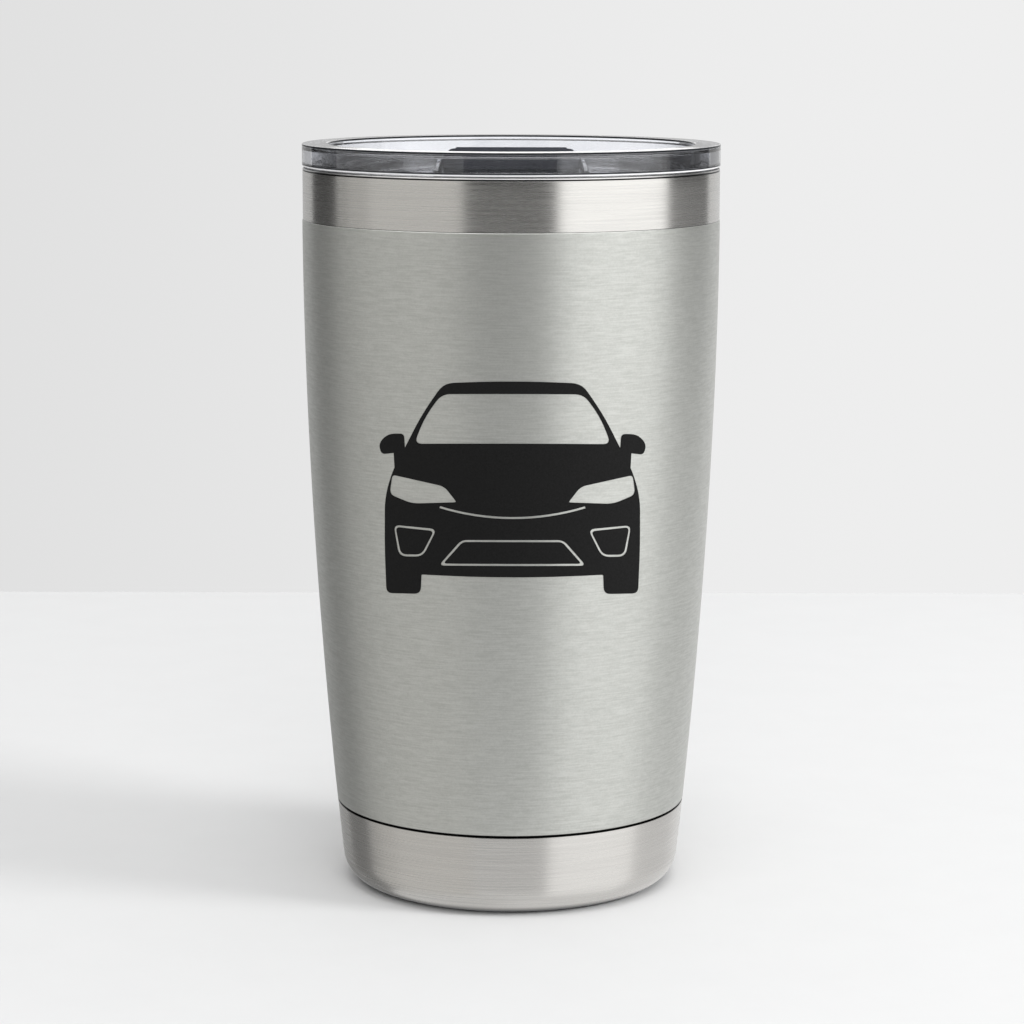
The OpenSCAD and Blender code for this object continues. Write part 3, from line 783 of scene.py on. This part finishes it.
WARM = (1.0, 0.985, 0.96)
SPLIT_Z = 0.03  # height where the steel band's reflection gives way to the coating's
BACK_SPLIT_Z = 0.217  # height that the front edge of the lid's rim reflects
THROUGH_LOW, THROUGH_HIGH = 0.02, 0.30  # heights of what is seen level through the lid
ROOM = (  # name, azimuths, strength above the split, then just below it and at the bottom, colour
    ("front", -25, 24, 0.02, 0.19, 0.80, (1, 1, 1)),
    ("soft_box", 26.3, 91.5, 1.50, 1.35, 1.12, (1, 1, 1)),
    ("right", 94, 136, 0.10, 0.58, 0.88, (1, 1, 1)),
    ("back_right", 139, 167, 0.70, 0.84, 0.88, (1, 1, 1)),
    ("back_left", 193, 219, 0.52, 0.61, 0.24, (1, 1, 1)),
    ("left", 221, 252, 0.05, 0.15, 0.24, (1, 1, 1)),
    ("left_edge", 254, 262, 0.42, 0.36, 0.52, WARM),
    ("left_turn", 262.5, 278, 0.55, 0.46, 0.64, WARM),
    ("left_fill", 278.5, 334, 0.69, 0.58, 0.70, WARM),
)
for name, start, end, above, below, bottom, colour in ROOM:
    card(f"{name}_high", start, end, above, above, colour, z0=SPLIT_Z)
    card(f"{name}_low", start, end, below, bottom, colour, z1=SPLIT_Z)
card("back_middle", 168, 192, 0.60, 0.60, z1=BACK_SPLIT_Z)
card("back_high", 168, 192, 1.5, 1.5, z0=BACK_SPLIT_Z)
THROUGH = (  # start azimuth and strength
    (-90, 1.4), (-61, 4.4), (-42, 1.3), (-26, 0.85), (26, 2.2), (42, 4.4), (61, 2.0),
    (91, 0.45), (144, 0.32), (168, 1.6), (192, 0.62), (216, 0.85),
)
ends = [start for start, _ in THROUGH[1:]] + [THROUGH[0][0] + 360]
for (start, strength), end in zip(THROUGH, ends):
    card(f"through_{start}", start, end, strength, strength, z0=THROUGH_LOW, z1=THROUGH_HIGH, through=True)
card("low_through", 0, 360, 0.85, 0.85, z0=-0.3, z1=THROUGH_LOW, through=True, steps=48)
card("high_through", 0, 360, 0.12, 0.12, z0=THROUGH_HIGH, z1=0.75, through=True, steps=48)
card("top_through", 0, 360, 0.6, 0.6, z0=0.75, z1=2.2, through=True, steps=48)


FLOOR_HALF = 0.3385  # half the side of the square floor, whose far edge is the photo's horizon


def ground(name, radius, sides, z, mat):
    """Flat polygon round the axis."""
    bm = bmesh.new()
    turns = [2 * math.pi * (k + 0.5) / sides for k in range(sides)]
    bm.faces.new([bm.verts.new((radius * math.cos(t), radius * math.sin(t), z)) for t in turns])
    obj = finish_mesh(bm, name)
    obj.data.materials.append(mat)
    return obj


overhead = ground("overhead", 1.3, 48, 1.25, emitter("overhead", 2.6, 2.6, (1, 1, 1)))
overhead.visible_camera = overhead.visible_diffuse = False
overhead.visible_shadow = overhead.visible_transmission = False

table_top = Nodes("table_top")
speckle = table_top.noise((60, 60, 60), 4.0, 0.6)
table_tone = table_top.blend(table_top.span(speckle, 0, 1), (0.675, 0.677, 0.679), (0.685, 0.687, 0.689))
table_top.put(Base_Color=table_tone, Roughness=0.9, Specular_IOR_Level=0.1)
floor = ground("floor", FLOOR_HALF * math.sqrt(2), 4, 0.0, table_top.mat)
floor.visible_glossy = False


def lamp(name, azimuth, elevation, distance, size, energy):
    """Round soft light aimed at the foot, azimuth from the front (-Y) towards +X; it isn't seen itself."""
    light = bpy.data.lights.new(name, "AREA")
    light.shape, light.size, light.energy = "DISK", size, energy
    obj = bpy.data.objects.new(name, light)
    a, e = math.radians(azimuth), math.radians(elevation)
    aim = Vector((0, 0, 0.06))
    away = Vector((math.cos(e) * math.sin(a), -math.cos(e) * math.cos(a), math.sin(e))) * distance
    obj.location = aim + away
    obj.rotation_euler = (-away).to_track_quat("-Z", "Y").to_euler()
    obj.visible_glossy = obj.visible_camera = obj.visible_transmission = False
    bpy.context.scene.collection.objects.link(obj)


lamp("key", 70, 26, 1.5, 0.5, 12.6)
lamp("fill", 5, 30, 3.5, 2.0, 23.8)
lamp("top", 5, 75, 3.5, 1.5, 23.8)

world = bpy.data.worlds.new("room")
bpy.context.scene.world = world
world.use_nodes = True
tree = world.node_tree
background = tree.nodes["Background"]
direction = tree.nodes.new("ShaderNodeTexCoord")
split = tree.nodes.new("ShaderNodeSeparateXYZ")
tree.links.new(direction.outputs["Generated"], split.inputs["Vector"])
sweep = tree.nodes.new("ShaderNodeMapRange")
sweep.interpolation_type = "SMOOTHSTEP"
for key, number in (("From Min", -0.25), ("From Max", 0.14), ("To Min", 0.0), ("To Max", 1.0)):
    sweep.inputs[key].default_value = number
tree.links.new(split.outputs["X"], sweep.inputs["Value"])
tones = tree.nodes.new("ShaderNodeMix")
tones.data_type = "RGBA"
tree.links.new(sweep.outputs["Result"], tones.inputs["Factor"])
tone_a, tone_b = [s for s in tones.inputs if s.type == "RGBA"]
tone_a.default_value, tone_b.default_value = (0.735, 0.735, 0.735, 1), (0.855, 0.855, 0.855, 1)
tree.links.new(next(s for s in tones.outputs if s.type == "RGBA"), background.inputs["Color"])
background.inputs["Strength"].default_value = 1.0

camera = bpy.data.cameras.new("camera")
camera.lens, camera.sensor_width = 113.71, 36
camera_obj = bpy.data.objects.new("camera", camera)
tilt, roll = math.radians(90 - 9.073), math.radians(0.105)
camera_obj.matrix_world = (Matrix.Translation((0.0003, -0.6926, 0.1911))
                           @ Matrix.Rotation(tilt, 4, "X") @ Matrix.Rotation(roll, 4, "Z"))
bpy.context.scene.collection.objects.link(camera_obj)
bpy.context.scene.camera = camera_obj
bpy.context.scene.view_settings.view_transform = "Standard"
